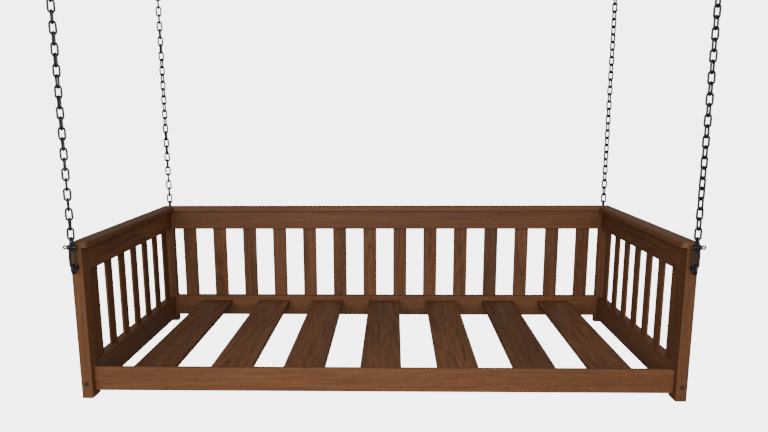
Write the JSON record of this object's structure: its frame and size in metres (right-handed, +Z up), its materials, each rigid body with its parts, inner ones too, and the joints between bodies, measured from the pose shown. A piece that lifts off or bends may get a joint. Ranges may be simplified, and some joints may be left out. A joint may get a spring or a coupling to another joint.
{
  "type": "hanging swing bed",
  "caption": "Slatted wooden daybed with low sides and back and an open front, hung level on chains and shackles from ceiling plates.",
  "frame": {"origin": "on the plane of the feet, under the middle of the bed's front face", "axes": "+X along the bed to the right seen from the front, +Y to its back, +Z up"},
  "size_m": [2.046, 1.1918, 1.5553],
  "materials": {
    "stained_wood": "satin stain",
    "black_steel": "black coated",
    "zinc_steel": "dull zinc",
    "dark_bolt": "dark coated"
  },
  "bodies": {
    "ceiling": {"ceiling_hangers": "black_steel"},
    "bed": {"back_slat_01": "stained_wood", "back_slat_02": "stained_wood", "back_slat_03": "stained_wood", "back_slat_04": "stained_wood", "back_slat_05": "stained_wood", "back_slat_06": "stained_wood", "back_slat_07": "stained_wood", "back_slat_08": "stained_wood", "back_slat_09": "stained_wood", "back_slat_10": "stained_wood", "back_slat_11": "stained_wood", "back_slat_12": "stained_wood", "back_slat_13": "stained_wood", "back_slat_14": "stained_wood", "cap_back": "stained_wood", "cap_left": "stained_wood", "cap_right": "stained_wood", "cleat_front": "stained_wood", "deck_board_1": "stained_wood", "deck_board_2": "stained_wood", "deck_board_3": "stained_wood", "deck_board_4": "stained_wood", "deck_board_5": "stained_wood", "deck_board_6": "stained_wood", "deck_board_7": "stained_wood", "deck_screws": "dark_bolt", "eye_bolts": "black_steel", "front_rail": "stained_wood", "low_rail_back": "stained_wood", "low_rail_left": "stained_wood", "low_rail_right": "stained_wood", "post_back_left": "stained_wood", "post_back_right": "stained_wood", "post_front_left": "stained_wood", "post_front_right": "stained_wood", "rail_bolts": "dark_bolt", "slats_left": "stained_wood", "slats_right": "stained_wood", "top_rail_back": "stained_wood", "top_rail_left": "stained_wood", "top_rail_right": "stained_wood"},
    "hook_front_left": {"top_link_front_left": "black_steel"},
    "run_front_left": {"chain_front_left": "black_steel"},
    "shackle_front_left": {"shackle_bow_front_left": "black_steel", "shackle_pin_front_left": "zinc_steel"},
    "hook_front_right": {"top_link_front_right": "black_steel"},
    "run_front_right": {"chain_front_right": "black_steel"},
    "shackle_front_right": {"shackle_bow_front_right": "black_steel", "shackle_pin_front_right": "zinc_steel"},
    "hook_back_left": {"top_link_back_left": "black_steel"},
    "run_back_left": {"chain_back_left": "black_steel"},
    "shackle_back_left": {"shackle_bow_back_left": "black_steel", "shackle_pin_back_left": "zinc_steel"},
    "hook_back_right": {"top_link_back_right": "black_steel"},
    "run_back_right": {"chain_back_right": "black_steel"},
    "shackle_back_right": {"shackle_bow_back_right": "black_steel", "shackle_pin_back_right": "zinc_steel"}
  },
  "joints": [
    {"name": "sway_front_left", "type": "hinge", "parent": "ceiling", "child": "hook_front_left", "pos_m": [-0.991, -0.024, 1.51835], "axis": [0, 1, 0], "range_deg": [-6, 6]},
    {"name": "swing_front_left", "type": "hinge", "parent": "hook_front_left", "child": "run_front_left", "pos_m": [-0.991, -0.024, 1.4874], "axis": [1, 0, 0], "range_deg": [-20, 20]},
    {"name": "level_front_left", "type": "hinge", "parent": "run_front_left", "child": "shackle_front_left", "pos_m": [-0.991, -0.024, 0.52], "axis": [1, 0, 0], "range_deg": [-20, 20]},
    {"name": "sway_front_right", "type": "hinge", "parent": "ceiling", "child": "hook_front_right", "pos_m": [0.991, -0.024, 1.51835], "axis": [0, 1, 0], "range_deg": [-6, 6]},
    {"name": "swing_front_right", "type": "hinge", "parent": "hook_front_right", "child": "run_front_right", "pos_m": [0.991, -0.024, 1.4874], "axis": [1, 0, 0], "range_deg": [-20, 20]},
    {"name": "level_front_right", "type": "hinge", "parent": "run_front_right", "child": "shackle_front_right", "pos_m": [0.991, -0.024, 0.52], "axis": [1, 0, 0], "range_deg": [-20, 20]},
    {"name": "sway_back_left", "type": "hinge", "parent": "ceiling", "child": "hook_back_left", "pos_m": [-0.991, 1.104, 1.51835], "axis": [0, 1, 0], "range_deg": [-6, 6]},
    {"name": "swing_back_left", "type": "hinge", "parent": "hook_back_left", "child": "run_back_left", "pos_m": [-0.991, 1.104, 1.4874], "axis": [1, 0, 0], "range_deg": [-20, 20]},
    {"name": "level_back_left", "type": "hinge", "parent": "run_back_left", "child": "shackle_back_left", "pos_m": [-0.991, 1.104, 0.52], "axis": [1, 0, 0], "range_deg": [-20, 20]},
    {"name": "sway_back_right", "type": "hinge", "parent": "ceiling", "child": "hook_back_right", "pos_m": [0.991, 1.104, 1.51835], "axis": [0, 1, 0], "range_deg": [-6, 6]},
    {"name": "swing_back_right", "type": "hinge", "parent": "hook_back_right", "child": "run_back_right", "pos_m": [0.991, 1.104, 1.4874], "axis": [1, 0, 0], "range_deg": [-20, 20]},
    {"name": "level_back_right", "type": "hinge", "parent": "run_back_right", "child": "shackle_back_right", "pos_m": [0.991, 1.104, 0.52], "axis": [1, 0, 0], "range_deg": [-20, 20]},
    {"name": "bed_level", "type": "hinge", "parent": "shackle_front_left", "child": "bed", "pos_m": [-0.991, -0.024, 0.4625], "axis": [0, 1, 0], "range_deg": [-6, 6]}
  ],
  "couplings": [
    {"joint": "level_front_left", "follows": "swing_front_left", "ratio": -1},
    {"joint": "sway_front_right", "follows": "sway_front_left", "ratio": 1},
    {"joint": "swing_front_right", "follows": "swing_front_left", "ratio": 1},
    {"joint": "level_front_right", "follows": "swing_front_left", "ratio": -1},
    {"joint": "sway_back_left", "follows": "sway_front_left", "ratio": 1},
    {"joint": "swing_back_left", "follows": "swing_front_left", "ratio": 1},
    {"joint": "level_back_left", "follows": "swing_front_left", "ratio": -1},
    {"joint": "sway_back_right", "follows": "sway_front_left", "ratio": 1},
    {"joint": "swing_back_right", "follows": "swing_front_left", "ratio": 1},
    {"joint": "level_back_right", "follows": "swing_front_left", "ratio": -1},
    {"joint": "bed_level", "follows": "sway_front_left", "ratio": -1}
  ]
}
